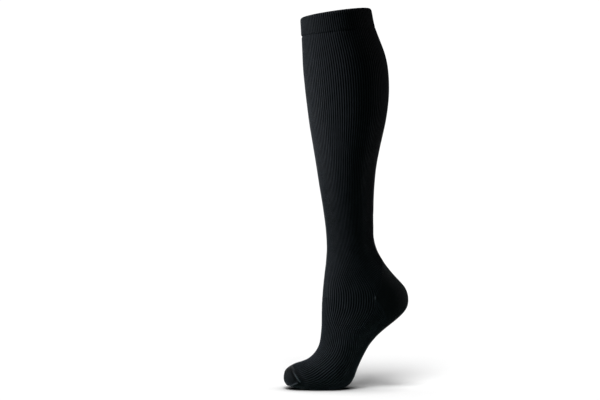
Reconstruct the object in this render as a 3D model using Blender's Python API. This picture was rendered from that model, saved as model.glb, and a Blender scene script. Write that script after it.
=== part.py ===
"""Knee-high compression stocking, filled out as on a leg that stands on the ball of the foot.

Metres, +Z up. The toe points to -Y and the heel to +Y, and the stocking is the same on both sides
of the plane X = 0. The origin is the middle of the leg opening.

Every piece is cut from one knitted form. A point on that form is named by two numbers: its share of
the girth, from 0 at the shin round the +X side to 0.5 at the back and on to 1, and its station, the
length in metres down the stocking from the rim.
"""

import math
from collections import namedtuple

import bmesh
import bpy
import numpy as np

WALL = 0.0012  # single ribbed knit, stretched
HEEL_WALL = 0.0014  # plated with a second yarn
BAND_WALL = 0.0022  # the turned-over top, two layers
BAND_PROUD = 0.0005  # the band stands this far out from the leg
SEAM_GAP = 0.0003
POCKET_GAP = 0.0005  # measured down the stocking, where the pocket's edge runs aslant
TOE_GAP = 0.00037  # where the form curves in, so that the inner skins stay apart too

FLOOR = -0.5253  # the ball and the toes press flat at this height
FLOOR_ROUNDING = 0.0012

BAND_DIP = 0.0027  # the band's lower edge hangs this much lower at the sides

GORE_SHARE = 0.293  # where each end of the heel pocket lies round the girth
GORE_RISE = 0.0026  # and how far above the section named gore
SEAM_RISE = 0.0029  # the toe seam lies this far above the section named toe_seam
POCKET_TIP = 0.010  # share of the girth that is left off at the pocket's pointed ends

RIDGE_WIDTH = 0.0030
RIDGE_HEIGHT = 0.0009

FRONT_COLUMNS = 11  # faces between the shin and a gore end, one more than the toe seam has
BACK_COLUMNS = 7  # faces between a gore end and the back
WELT_ROWS = 3
LEG_ROWS = 26
HEEL_ROWS = 10
FOOT_ROWS = 14
TOE_ROWS = 5
RIDGE_ROWS = 2
LAST_RING = 0.004  # distance from the toe cap's last ring to its tip
SHARP_ANGLE = math.radians(50)  # the edges of a wall stay crisp, and its faces look round
LENGTH_STEPS = 48  # samples that measure half a section's girth
NUDGE = 1e-4  # step for the slope of the form, in share and in metres

Section = namedtuple("Section", "name front_y front_z back_y back_z half_width lean full")

# One row for each section across the stocking, from the rim to the tip of the toes. The section runs
# from its front point (on the shin, then on the instep) to its back point (on the calf, the heel,
# then the sole). lean moves its widest place towards the back point, and full rounds its ends out.
SECTIONS = [
    Section("rim", -0.0488, -0.0061, 0.0492, 0.0073, 0.0480, 0.06, 0.00),
    Section("band_edge", -0.0473, -0.0317, 0.0551, -0.0197, 0.0500, 0.09, 0.00),
    Section("upper_calf", -0.0456, -0.0707, 0.0692, -0.0581, 0.0540, 0.13, 0.00),
    Section("calf", -0.0419, -0.1113, 0.0745, -0.1043, 0.0550, 0.16, 0.00),
    Section("lower_calf", -0.0362, -0.1547, 0.0704, -0.1491, 0.0520, 0.16, 0.00),
    Section("shin", -0.0292, -0.1981, 0.0607, -0.1925, 0.0460, 0.13, 0.00),
    Section("lower_shin", -0.0212, -0.2485, 0.0540, -0.2415, 0.0380, 0.08, 0.00),
    Section("ankle", -0.0135, -0.3003, 0.0527, -0.2947, 0.0305, 0.02, 0.00),
    Section("ankle_bone", -0.0120, -0.3311, 0.0553, -0.3241, 0.0305, 0.00, 0.01),
    Section("heel_start", -0.0142, -0.3563, 0.0683, -0.3493, 0.0325, -0.04, 0.02),
    Section("heel_upper", -0.0161, -0.3731, 0.0852, -0.3696, 0.0332, -0.06, 0.03),
    Section("heel_back", -0.0174, -0.3871, 0.0985, -0.3857, 0.0335, -0.06, 0.04),
    Section("gore", -0.0182, -0.3990, 0.1019, -0.4004, 0.0335, -0.05, 0.05),
    Section("heel_under", -0.0188, -0.4109, 0.0992, -0.4130, 0.0335, -0.04, 0.05),
    Section("heel_lower", -0.0189, -0.4228, 0.0876, -0.4263, 0.0335, -0.02, 0.05),
    Section("heel_end", -0.0190, -0.4347, 0.0720, -0.4389, 0.0340, 0.00, 0.04),
    Section("arch", -0.0200, -0.4473, 0.0535, -0.4557, 0.0350, 0.04, 0.03),
    Section("waist", -0.0224, -0.4620, 0.0401, -0.4760, 0.0370, 0.08, 0.02),
    Section("instep", -0.0297, -0.4756, 0.0299, -0.4984, 0.0400, 0.10, 0.02),
    Section("ball", -0.0382, -0.4833, 0.0238, -0.5127, 0.0425, 0.10, 0.02),
    Section("ball_flat", -0.0463, -0.4869, 0.0153, -0.5220, 0.0425, 0.08, 0.02),
    Section("toe_joint", -0.0531, -0.4890, -0.0148, -0.5274, 0.0412, 0.06, 0.03),
    Section("toe_seam", -0.0645, -0.4940, -0.0450, -0.5259, 0.0352, 0.04, 0.03),
    Section("toe_upper", -0.0703, -0.4994, -0.0604, -0.5227, 0.0285, 0.02, 0.03),
    Section("toe_front", -0.0722, -0.5047, -0.0703, -0.5172, 0.0170, 0.00, 0.01),
    Section("toe_tip", -0.0727, -0.5107, -0.0727, -0.5107, 0.0000, 0.00, 0.00),
]

KNIT_ROUGHNESS = 0.85
COLOURS = {
    "welt": (0.016, 0.017, 0.019),
    "leg": (0.014, 0.015, 0.017),
    "heel_pocket": (0.010, 0.010, 0.012),
    "foot": (0.013, 0.014, 0.016),
    "toe_cap": (0.018, 0.019, 0.021),
    "toe_seam": (0.024, 0.025, 0.028),
}


def past_the_tip(row):
    """The form carried on over the tip, where front and back change places."""
    return Section(row.name + "_beyond", row.back_y, row.back_z, row.front_y, row.front_z,
                   -row.half_width, row.lean, row.full)


def lengths_down(rows):
    """Station of each row: the mean of the lengths along the front line and the back line."""
    front = np.array([(row.front_y, row.front_z) for row in rows])
    back = np.array([(row.back_y, row.back_z) for row in rows])
    steps = [np.linalg.norm(np.diff(line, axis=0), axis=1) for line in (front, back)]
    return np.concatenate([[0.0], np.cumsum((steps[0] + steps[1]) / 2)])


def smooth_slopes(knots, values):
    """Slopes at the knots that make the cubic through the values bend without a jump."""
    gaps = np.diff(knots)
    count = len(knots)
    matrix = np.zeros((count, count))
    right = np.zeros((count, values.shape[1]))
    chords = np.diff(values, axis=0) / gaps[:, None]
    matrix[0, :2] = 2, 1
    matrix[-1, -2:] = 1, 2
    right[0] = 3 * chords[0]
    right[-1] = 3 * chords[-1]
    for i in range(1, count - 1):
        matrix[i, i - 1 : i + 2] = gaps[i], 2 * (gaps[i - 1] + gaps[i]), gaps[i - 1]
        right[i] = 3 * (gaps[i] * chords[i - 1] + gaps[i - 1] * chords[i])
    return np.linalg.solve(matrix, right)


ROWS = SECTIONS + [past_the_tip(row) for row in SECTIONS[-2:-4:-1]]
KNOTS = lengths_down(ROWS)
VALUES = np.array([row[1:] for row in ROWS])
SLOPES = smooth_slopes(KNOTS, VALUES)
STATION = {row.name: float(knot) for row, knot in zip(ROWS, KNOTS)}


def section_at(station):
    """The table's columns at any station, as an array that ends in one axis of columns."""
    left = np.clip(np.searchsorted(KNOTS, station) - 1, 0, len(KNOTS) - 2)
    gap = (KNOTS[left + 1] - KNOTS[left])[..., None]
    t = (station[..., None] - KNOTS[left][..., None]) / gap
    return (
        (1 + 2 * t) * (1 - t) ** 2 * VALUES[left]
        + t * (1 - t) ** 2 * gap * SLOPES[left]
        + t * t * (3 - 2 * t) * VALUES[left + 1]
        + t * t * (t - 1) * gap * SLOPES[left + 1]
    )


def outline(section, turn):
    """(sideways, along) of a section at a turn of 0 at its front point to pi at its back point."""
    half_width, lean, full = section[..., 4], section[..., 5], section[..., 6]
    sideways = half_width * (np.sin(turn) + full * np.sin(3 * turn)) / (1 - full)
    return sideways, (1 - np.cos(turn + lean * np.sin(turn))) / 2


def form_point(share, station):
    """Points of the knitted form, with the girth shared out evenly round each section."""
    section = section_at(station)
    depth = section[..., 2:4] - section[..., 0:2]
    turns = np.linspace(0, math.pi, LENGTH_STEPS + 1)
    wide, deep = outline(section[..., None, :], turns)
    across = np.diff(wide, axis=-1)
    down = np.diff(deep, axis=-1) * np.linalg.norm(depth, axis=-1)[..., None]
    girth = np.cumsum(np.hypot(across, down), axis=-1)
    half = 2 * np.where(share > 0.5, 1 - share, share)
    wanted = half * girth[..., -1]
    step = np.minimum((girth < wanted[..., None]).sum(axis=-1), LENGTH_STEPS - 1)
    reached = np.take_along_axis(girth, step[..., None], axis=-1)[..., 0]
    before = np.where(
        step > 0, np.take_along_axis(girth, np.maximum(step - 1, 0)[..., None], axis=-1)[..., 0], 0.0
    )
    turn = turns[step] + (wanted - before) / (reached - before) * turns[1]
    sideways, along = outline(section, turn)
    side = np.where(share > 0.5, -1.0, 1.0)
    return np.stack(
        [
            side * sideways,
            section[..., 0] + along * depth[..., 0],
            section[..., 1] + along * depth[..., 1],
        ],
        axis=-1,
    )


def slope_down(share, station):
    """How the form's points move for each metre of station."""
    return (form_point(share, station + NUDGE) - form_point(share, station - NUDGE)) / (2 * NUDGE)


def outward(share, station):
    """Unit normals of the form. They point away from the leg."""
    # A point just over the shin or the back belongs to the other side, so the share is wrapped.
    ahead = form_point((share + NUDGE) % 1, station)
    behind = form_point((share - NUDGE) % 1, station)
    normal = np.cross(slope_down(share, station), ahead - behind)
    return normal / np.linalg.norm(normal, axis=-1, keepdims=True)


def panel_points(share, station, lift):
    """Points lifted off the form, and kept above the floor by the cloth that lies under them."""
    points = form_point(share, station) + lift * outward(share, station)
    lowest = FLOOR + max(-lift, 0)
    above = points[..., 2] - lowest
    points[..., 2] = lowest + (above + np.sqrt(above**2 + FLOOR_ROUNDING**2)) / 2
    return points


def gap_stations(share, station, gap):
    """The station step that leaves this gap between two pieces there."""
    return gap / np.linalg.norm(slope_down(share, station), axis=-1)


def towards_back(share):
    """0 from the shin to a gore end, rising to 1 in a round top at the back."""
    past = np.minimum(share, 1 - share) - GORE_SHARE
    return np.sin(np.clip(past / (0.5 - GORE_SHARE), 0, 1) * math.pi / 2)


def toe_edge(share, gap_side):
    """The level line of the toe seam. gap_side is -1 for the piece above it and 1 for the one below."""
    station = np.full_like(share, STATION["toe_seam"] - SEAM_RISE)
    return station + gap_side * gap_stations(share, station, TOE_GAP) / 2


def band_edge(share, gap_side):
    """The band's lower edge, which dips at both sides of the leg."""
    station = STATION["band_edge"] + BAND_DIP * np.sin(2 * math.pi * share) ** 2
    return station + gap_side * gap_stations(share, station, SEAM_GAP) / 2


def heel_edge(share, name, gap_side):
    """The edge that leaves the gore ends and meets the back at a named section."""
    back = towards_back(share)
    gore = STATION["gore"] - GORE_RISE
    station = gore + (STATION[name] - gore) * back
    gap = np.where(back > 0, POCKET_GAP, SEAM_GAP)
    return station + gap_side * gap_stations(share, station, gap) / 2


def front_shares():
    return np.linspace(0, GORE_SHARE, FRONT_COLUMNS + 1)


def back_shares():
    return np.linspace(GORE_SHARE, 0.5, BACK_COLUMNS + 1)


def ring_shares():
    """Girth shares of the columns of a tube, with one column on each gore end."""
    half = np.concatenate([front_shares(), back_shares()[1:]])
    return np.concatenate([half, 1 - half[-2:0:-1]])


def rows_between(first, last, count):
    """Stations of a lattice of rows that change evenly from one edge into the other."""
    part = np.linspace(0, 1, count + 1)[:, None]
    return first + (last - first) * part


def sheet_faces(rows, columns, closed, vertices):
    """Quads of one skin, from a lattice of vertices."""
    for r in range(rows - 1):
        for c in range(columns if closed else columns - 1):
            d = (c + 1) % columns
            yield vertices[r][c], vertices[r][d], vertices[r + 1][d], vertices[r + 1][c]


def knit_shell(name, shares, stations, lift, wall, closed=True, tip=False):
    """A wall of even thickness: an outer skin, an inner skin, and a rim along every open edge."""
    rows, columns = stations.shape
    share = np.broadcast_to(shares, stations.shape)
    mesh = bmesh.new()
    skins = []
    for skin_lift in (lift, lift - wall):
        points = panel_points(share, stations, skin_lift)
        skins.append([[mesh.verts.new(point) for point in row] for row in points])
    outer, inner = skins
    for skin in skins:
        for corners in sheet_faces(rows, columns, closed, skin):
            mesh.faces.new(corners)
    around = [(c, (c + 1) % columns) for c in range(columns if closed else columns - 1)]
    for r in (0,) if tip else (0, rows - 1):
        for c, d in around:
            mesh.faces.new((outer[r][c], outer[r][d], inner[r][d], inner[r][c]))
    for c in () if closed else (0, columns - 1):
        for r in range(rows - 1):
            mesh.faces.new((outer[r][c], outer[r + 1][c], inner[r + 1][c], inner[r][c]))
    if tip:
        close_tip(mesh, skins, wall)
    bmesh.ops.recalc_face_normals(mesh, faces=mesh.faces)
    return add_piece(name, mesh)


def close_tip(mesh, skins, wall):
    """Draws the last ring of each skin together at the tip of the toes."""
    last = SECTIONS[-1]
    for skin, set_back in zip(skins, (0.0, wall)):
        tip = mesh.verts.new((0, last.front_y + set_back, last.front_z))
        ring = skin[-1]
        for a, b in zip(ring, ring[1:] + ring[:1]):
            mesh.faces.new((a, b, tip))


def add_piece(name, mesh):
    """Turns a bmesh into a named object with its own material."""
    data = bpy.data.meshes.new(name)
    mesh.to_mesh(data)
    mesh.free()
    data.shade_smooth()
    data.set_sharp_from_angle(angle=SHARP_ANGLE)
    data.materials.append(knit_material(name + "_knit", COLOURS[name]))
    piece = bpy.data.objects.new(name, data)
    bpy.data.collections["compression_stocking"].objects.link(piece)
    return piece


def knit_material(name, colour):
    material = bpy.data.materials.new(name)
    material.use_nodes = True
    surface = material.node_tree.nodes["Principled BSDF"]
    surface.inputs["Base Color"].default_value = (*colour, 1)
    surface.inputs["Roughness"].default_value = KNIT_ROUGHNESS
    surface.inputs["Metallic"].default_value = 0
    return material


def make_welt():
    """The turned-over top band."""
    shares = ring_shares()
    rim = np.full_like(shares, STATION["rim"])
    edge = band_edge(shares, -1)
    return knit_shell("welt", shares, rows_between(rim, edge, WELT_ROWS), BAND_PROUD, BAND_WALL)


def make_leg():
    """The ribbed tube from the band to the heel. Its lower edge rises to the back round the pocket."""
    shares = ring_shares()
    top = band_edge(shares, 1)
    bottom = heel_edge(shares, "heel_start", -1)
    return knit_shell("leg", shares, rows_between(top, bottom, LEG_ROWS), 0, WALL)


def make_heel_pocket():
    """The plain pocket between the two gore ends. Its points are cut short."""
    half = back_shares()
    half[0] += POCKET_TIP
    shares = np.concatenate([half, 1 - half[-2::-1]])
    top = heel_edge(shares, "heel_start", 1)
    bottom = heel_edge(shares, "heel_end", -1)
    stations = rows_between(top, bottom, HEEL_ROWS)
    return knit_shell("heel_pocket", shares, stations, 0, HEEL_WALL, closed=False)


def make_foot():
    """The foot tube from the heel to the toe seam, ribbed on top and plain under the sole."""
    shares = ring_shares()
    top = heel_edge(shares, "heel_end", 1)
    bottom = toe_edge(shares, -1)
    return knit_shell("foot", shares, rows_between(top, bottom, FOOT_ROWS), 0, WALL)


def make_toe_cap():
    """The plain toe pocket, drawn together at the tip."""
    shares = ring_shares()
    top = toe_edge(shares, 1)
    last = np.full_like(shares, STATION["toe_tip"] - LAST_RING)
    return knit_shell("toe_cap", shares, rows_between(top, last, TOE_ROWS), 0, WALL, tip=True)


def make_toe_seam():
    """The linking seam: a low ridge over the top of the toes that lies on both panels."""
    half = front_shares()[:-1]
    shares = np.concatenate([-half[:0:-1], half]) % 1
    middle = toe_edge(shares, 0)
    reach = gap_stations(shares, middle, RIDGE_WIDTH) / 2
    stations = rows_between(middle - reach, middle + reach, RIDGE_ROWS)
    top = SEAM_GAP + RIDGE_HEIGHT
    return knit_shell("toe_seam", shares, stations, top, RIDGE_HEIGHT, closed=False)


def clear_scene():
    for found in list(bpy.data.objects):
        bpy.data.objects.remove(found, do_unlink=True)


def main():
    clear_scene()
    collection = bpy.data.collections.new("compression_stocking")
    bpy.context.scene.collection.children.link(collection)
    make_welt()
    make_leg()
    make_heel_pocket()
    make_foot()
    make_toe_cap()
    make_toe_seam()


if __name__ == "__main__":
    main()
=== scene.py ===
"""Knee-high compression stocking in black ribbed knit, filled out as on a leg.

Metres, +Z up, toes to -Y and heel to +Y. The form is the same on both sides of X = 0, and its origin
is the middle of the leg opening. Only the ribs are turned a little round the ball of the foot.

Every panel is cut from one knitted form. A point on it is named by its wale, the share of the ribs
from the shin round the +X side and on to 1, and by its station, the length down from the rim.
"""

import math
from collections import namedtuple

import bpy
import numpy as np
from bpy.props import FloatProperty, FloatVectorProperty, IntProperty, PointerProperty
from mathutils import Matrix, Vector


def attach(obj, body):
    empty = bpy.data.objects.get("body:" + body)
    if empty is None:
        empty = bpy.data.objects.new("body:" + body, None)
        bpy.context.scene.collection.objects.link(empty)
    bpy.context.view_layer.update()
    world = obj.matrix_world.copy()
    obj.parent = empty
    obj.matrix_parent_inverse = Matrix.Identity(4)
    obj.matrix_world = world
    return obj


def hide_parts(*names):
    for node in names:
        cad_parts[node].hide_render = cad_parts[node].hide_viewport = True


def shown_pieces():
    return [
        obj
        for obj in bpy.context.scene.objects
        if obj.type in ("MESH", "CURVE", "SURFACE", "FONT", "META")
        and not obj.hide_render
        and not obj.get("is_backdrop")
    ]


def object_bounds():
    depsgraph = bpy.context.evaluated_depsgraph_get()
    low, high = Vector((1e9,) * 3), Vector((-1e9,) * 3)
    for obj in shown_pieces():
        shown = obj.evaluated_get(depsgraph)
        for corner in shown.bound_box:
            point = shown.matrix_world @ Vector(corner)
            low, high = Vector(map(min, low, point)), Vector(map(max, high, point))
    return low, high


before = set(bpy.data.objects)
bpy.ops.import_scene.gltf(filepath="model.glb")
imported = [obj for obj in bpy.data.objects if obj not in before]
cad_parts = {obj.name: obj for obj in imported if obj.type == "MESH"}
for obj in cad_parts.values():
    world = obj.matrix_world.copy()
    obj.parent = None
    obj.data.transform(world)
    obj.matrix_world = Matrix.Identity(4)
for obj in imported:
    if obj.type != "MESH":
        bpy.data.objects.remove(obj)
CAD_BOX = [list(corner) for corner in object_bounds()]

bl_info = {
    "name": "Compression stocking",
    "version": (1, 0, 0),
    "blender": (4, 5, 0),
    "location": "3D View > Sidebar > Stocking",
    "description": "Knits a knee-high compression stocking around its solids",
    "category": "Add Mesh",
}

FLOOR = -0.5253  # the ball and the toes press flat at this height
FLOOR_ROUNDING = 0.0012
LENGTH_STEPS = 48  # samples that measure half a section's girth
NUDGE = 1e-4  # step for the slope of the form, in share and in metres
SHARP_ANGLE = math.radians(62)
MILLIMETRES = 1000

RIB_COLUMNS = 6  # lattice columns to a rib
PLAIN_COLUMNS = 3  # and to as much plain knit
LEG_ROWS, HEEL_ROWS, FOOT_ROWS, TOE_ROWS = 80, 33, 64, 34
LEG_LENGTH = 0.36  # from the band to the heel, near enough to space the lattice rows

BAND_DIP = 0.0027  # the band's lower edge hangs this much lower at the sides
GORE_RISE = 0.0026  # the gore ends lie this far above the section named gore
SEAM_RISE = 0.0029  # the toe seam lies this far above the section named toe_seam

LEG_SHARE = 0.25  # half of the ribs lie in front on the leg
GORE_SHARE = 0.293  # they spread over this share of the girth, each side, at the heel
FOOT_SHARE = 0.385  # and over this one from the instep on
SOLE_CROWDING = 0.9  # the ribs crowd towards the middle of the sole, and below 1 none turns back
TWIST = 0.055  # the cloth is turned round the ball of the foot by this share of the girth
GATHERS = 52  # small gathers that run out of the toe seam, all round
SEAM_SHARE = 0.266  # the toe seam reaches this share of the girth from the top of the foot
SEAM_COLUMNS = 220
SEAM_LOOPS = 42  # loops of linking yarn from end to end
TOE_GIRTH = 0.15  # length round the toe pocket near the seam
SOLE_EDGE = 0.35  # the ribs of the foot end at this wale, and the sole between them is plain
SOLE_BLEND = 0.010  # over this much of a wale to each side

BAND_RIBS = 0.9  # rib height on the band, as a share of the leg's
FOOT_RIBS = 1.4  # and on the foot, where the ribs lie further apart
INSIDE_RIBS = 0.6  # and on the inner face, where the ribs are pressed against the leg
PLAIN_SHADE = 0.6  # painted shade on the plain-knitted parts of the leg and foot, as dark as the ribs and their painted groove shade look together

Section = namedtuple("Section", "name front_y front_z back_y back_z half_width lean full")

# One row for each section across the stocking, from the rim to the tip of the toes. The section runs
# from its front point (on the shin, then on the instep) to its back point (on the calf, the heel,
# then the sole). lean moves its widest place towards the back point, and full rounds its ends out.
SECTIONS = [
    Section("rim", -0.0488, -0.0061, 0.0492, 0.0073, 0.0480, 0.06, 0.00),
    Section("band_edge", -0.0473, -0.0317, 0.0551, -0.0197, 0.0500, 0.09, 0.00),
    Section("upper_calf", -0.0456, -0.0707, 0.0692, -0.0581, 0.0540, 0.13, 0.00),
    Section("calf", -0.0419, -0.1113, 0.0745, -0.1043, 0.0550, 0.16, 0.00),
    Section("lower_calf", -0.0362, -0.1547, 0.0704, -0.1491, 0.0520, 0.16, 0.00),
    Section("shin", -0.0292, -0.1981, 0.0607, -0.1925, 0.0460, 0.13, 0.00),
    Section("lower_shin", -0.0212, -0.2485, 0.0540, -0.2415, 0.0380, 0.08, 0.00),
    Section("ankle", -0.0135, -0.3003, 0.0527, -0.2947, 0.0305, 0.02, 0.00),
    Section("ankle_bone", -0.0120, -0.3311, 0.0553, -0.3241, 0.0305, 0.00, 0.01),
    Section("heel_start", -0.0142, -0.3563, 0.0683, -0.3493, 0.0325, -0.04, 0.02),
    Section("heel_upper", -0.0161, -0.3731, 0.0852, -0.3696, 0.0332, -0.06, 0.03),
    Section("heel_back", -0.0174, -0.3871, 0.0985, -0.3857, 0.0335, -0.06, 0.04),
    Section("gore", -0.0182, -0.3990, 0.1019, -0.4004, 0.0335, -0.05, 0.05),
    Section("heel_under", -0.0188, -0.4109, 0.0992, -0.4130, 0.0335, -0.04, 0.05),
    Section("heel_lower", -0.0189, -0.4228, 0.0876, -0.4263, 0.0335, -0.02, 0.05),
    Section("heel_end", -0.0190, -0.4347, 0.0720, -0.4389, 0.0340, 0.00, 0.04),
    Section("arch", -0.0200, -0.4473, 0.0535, -0.4557, 0.0350, 0.04, 0.03),
    Section("waist", -0.0224, -0.4620, 0.0401, -0.4760, 0.0370, 0.08, 0.02),
    Section("instep", -0.0297, -0.4756, 0.0299, -0.4984, 0.0400, 0.10, 0.02),
    Section("ball", -0.0382, -0.4833, 0.0238, -0.5127, 0.0425, 0.10, 0.02),
    Section("ball_flat", -0.0463, -0.4869, 0.0153, -0.5220, 0.0425, 0.08, 0.02),
    Section("toe_joint", -0.0531, -0.4890, -0.0148, -0.5274, 0.0412, 0.06, 0.03),
    Section("toe_seam", -0.0645, -0.4940, -0.0450, -0.5259, 0.0352, 0.04, 0.03),
    Section("toe_upper", -0.0703, -0.4994, -0.0604, -0.5227, 0.0285, 0.02, 0.03),
    Section("toe_front", -0.0722, -0.5047, -0.0703, -0.5172, 0.0170, 0.00, 0.01),
    Section("toe_tip", -0.0727, -0.5107, -0.0727, -0.5107, 0.0000, 0.00, 0.00),
]


def linear(text):
    """Linear colour of an sRGB hex value."""
    values = [int(text[i : i + 2], 16) / 255 for i in (1, 3, 5)]
    return [v / 12.92 if v <= 0.04045 else ((v + 0.055) / 1.055) ** 2.4 for v in values]


def smooth_step(start, end, value):
    """0 up to the start and 1 from the end on, with no corner. The end may be the lower one."""
    t = np.clip((value - start) / (end - start), 0, 1)
    return t * t * (3 - 2 * t)


def bell(value, width):
    """1 at 0, and next to nothing two widths away."""
    return np.exp(-((value / width) ** 2))


# The knitted form ----------------------------------------


def past_the_tip(row):
    """The form carried on over the tip, where front and back change places."""
    return Section(row.name + "_beyond", row.back_y, row.back_z, row.front_y, row.front_z,
                   -row.half_width, row.lean, row.full)


def lengths_down(rows):
    """Station of each row: the mean of the lengths along the front line and the back line."""
    front = np.array([(row.front_y, row.front_z) for row in rows])
    back = np.array([(row.back_y, row.back_z) for row in rows])
    steps = [np.linalg.norm(np.diff(line, axis=0), axis=1) for line in (front, back)]
    return np.concatenate([[0.0], np.cumsum((steps[0] + steps[1]) / 2)])


def smooth_slopes(knots, values):
    """Slopes at the knots that make the cubic through the values bend without a jump."""
    gaps = np.diff(knots)
    count = len(knots)
    matrix = np.zeros((count, count))
    right = np.zeros((count, values.shape[1]))
    chords = np.diff(values, axis=0) / gaps[:, None]
    matrix[0, :2] = 2, 1
    matrix[-1, -2:] = 1, 2
    right[0] = 3 * chords[0]
    right[-1] = 3 * chords[-1]
    for i in range(1, count - 1):
        matrix[i, i - 1 : i + 2] = gaps[i], 2 * (gaps[i - 1] + gaps[i]), gaps[i - 1]
        right[i] = 3 * (gaps[i] * chords[i - 1] + gaps[i - 1] * chords[i])
    return np.linalg.solve(matrix, right)


ROWS = SECTIONS + [past_the_tip(row) for row in SECTIONS[-2:-4:-1]]
KNOTS = lengths_down(ROWS)
VALUES = np.array([row[1:] for row in ROWS])
SLOPES = smooth_slopes(KNOTS, VALUES)
STATION = {row.name: float(knot) for row, knot in zip(ROWS, KNOTS)}
GORE = STATION["gore"] - GORE_RISE
TOE_EDGE = STATION["toe_seam"] - SEAM_RISE
SEAM_WALE = 0.25 * SEAM_SHARE / FOOT_SHARE
TACK_WALE = 0.2515  # the tack sits just behind the gore end


def section_at(station):
    """The table's columns at any station, as an array that ends in one axis of columns."""
    left = np.clip(np.searchsorted(KNOTS, station) - 1, 0, len(KNOTS) - 2)
    gap = (KNOTS[left + 1] - KNOTS[left])[..., None]
    t = (station[..., None] - KNOTS[left][..., None]) / gap
    return (
        (1 + 2 * t) * (1 - t) ** 2 * VALUES[left]
        + t * (1 - t) ** 2 * gap * SLOPES[left]
        + t * t * (3 - 2 * t) * VALUES[left + 1]
        + t * t * (t - 1) * gap * SLOPES[left + 1]
    )


def outline(section, turn):
    """(sideways, along) of a section at a turn of 0 at its front point to pi at its back point."""
    half_width, lean, full = section[..., 4], section[..., 5], section[..., 6]
    sideways = half_width * (np.sin(turn) + full * np.sin(3 * turn)) / (1 - full)
    return sideways, (1 - np.cos(turn + lean * np.sin(turn))) / 2


def form_point(share, station):
    """Points of the knitted form, with the girth shared out evenly round each section."""
    section = section_at(station)
    depth = section[..., 2:4] - section[..., 0:2]
    turns = np.linspace(0, math.pi, LENGTH_STEPS + 1)
    wide, painted_shade_colour = outline(section[..., None, :], turns)
    across = np.diff(wide, axis=-1)
    down = np.diff(painted_shade_colour, axis=-1) * np.linalg.norm(depth, axis=-1)[..., None]
    girth = np.cumsum(np.hypot(across, down), axis=-1)
    girth = np.concatenate([np.zeros_like(girth[..., :1]), girth], axis=-1)
    wanted = 2 * np.where(share > 0.5, 1 - share, share) * girth[..., -1]
    step = (girth[..., 1:] < wanted[..., None]).sum(axis=-1, keepdims=True)
    step = np.minimum(step, LENGTH_STEPS - 1)
    before, reached = (np.take_along_axis(girth, step + i, axis=-1)[..., 0] for i in (0, 1))
    turn = turns[step[..., 0]] + (wanted - before) / (reached - before) * turns[1]
    sideways, along = outline(section, turn)
    sideways = np.where(share > 0.5, -1.0, 1.0) * sideways
    in_plane = section[..., 0:2] + along[..., None] * depth
    return np.concatenate([sideways[..., None], in_plane], axis=-1)


def outward(share, station):
    """Unit normals of the form. They point away from the leg."""
    down = form_point(share, station + NUDGE) - form_point(share, station - NUDGE)
    # A point just over the shin or the back belongs to the other side, so the share is wrapped.
    ahead = form_point((share + NUDGE) % 1, station)
    behind = form_point((share - NUDGE) % 1, station)
    normal = np.cross(down, ahead - behind)
    return normal / np.linalg.norm(normal, axis=-1, keepdims=True)


def from_shin(wale):
    """0 at the shin to 0.5 at the back, on either side."""
    wale = wale % 1
    return np.minimum(wale, 1 - wale)


def share_of(wale, station):
    """Girth share of a wale. The front half of the wales spreads over the heel and the foot.

    On the foot the ribs are turned towards the instep, and the ones behind crowd into the sole.
    """
    on_foot = smooth_step(STATION["heel_end"], STATION["instep"], station)
    front = (
        LEG_SHARE
        + (GORE_SHARE - LEG_SHARE) * smooth_step(STATION["ankle"], GORE, station)
        + (FOOT_SHARE - GORE_SHARE) * on_foot
    )
    back = 0.5 - front
    crowding = np.minimum(front / back - 1, SOLE_CROWDING) * on_foot
    half = from_shin(wale) / 0.25
    behind = (half - 1) * (1 + crowding * (2 - half))
    share = np.where(half < 1, front * half, front + back * behind)
    turned = TWIST * smooth_step(STATION["arch"], STATION["ball_flat"], station)
    turned = turned * smooth_step(STATION["toe_seam"], STATION["ball"], station)
    return (np.where(wale % 1 > 0.5, 1 - share, share) - turned) % 1


def cloth_points(wale, station, lift):
    """Points lifted off the form, and kept above the floor by the cloth that lies under them."""
    share = share_of(wale, station)
    points = form_point(share, station) + lift[..., None] * outward(share, station)
    lowest = FLOOR + np.maximum(-lift, 0)
    above = points[..., 2] - lowest
    points[..., 2] = lowest + (above + np.sqrt(above**2 + FLOOR_ROUNDING**2)) / 2
    return points


# Lines on the form ----------------------------------------


def towards_back(wale):
    """0 from the shin to a gore end, rising to 1 in a round top at the back."""
    return np.sin(np.clip((from_shin(wale) - 0.25) / 0.25, 0, 1) * math.pi / 2)


def heel_edge(wale, name):
    """The edge that leaves the gore ends and meets the back at a named section."""
    return GORE + (STATION[name] - GORE) * towards_back(wale)


def band_edge(wale):
    """The band's lower edge, which dips at both sides of the leg."""
    return STATION["band_edge"] + BAND_DIP * np.sin(2 * math.pi * wale) ** 2


def wale_columns(columns, ribs):
    """Wales of a tube's lattice columns, all round, with one column on each gore end."""
    count = ribs // 4 * columns + 1
    front = np.linspace(0, 0.25, count)
    back = np.linspace(0.25, 0.5, count)
    side = np.concatenate([front, back[1:]])
    return np.concatenate([side, 1 - side[-2:0:-1]])


def behind_gores(wales, ribs):
    """True for the columns that lie behind the gore ends."""
    return from_shin(wales) > 0.25 + 0.2 / ribs


def rows_between(first, last, parts):
    """Stations of lattice rows that change evenly from one edge into the other."""
    return first + (last - first) * np.asarray(parts)[:, None]


# Relief of the knit ----------------------------------------

# Soft creases that the cloth keeps where it isn't pulled tight: wale and station of the middle, half
# its length in wales, half its width in metres, how far it climbs in metres over that half length,
# and its height (a trough where negative).
Crease = namedtuple("Crease", "wale station reach width climb height")

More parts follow.
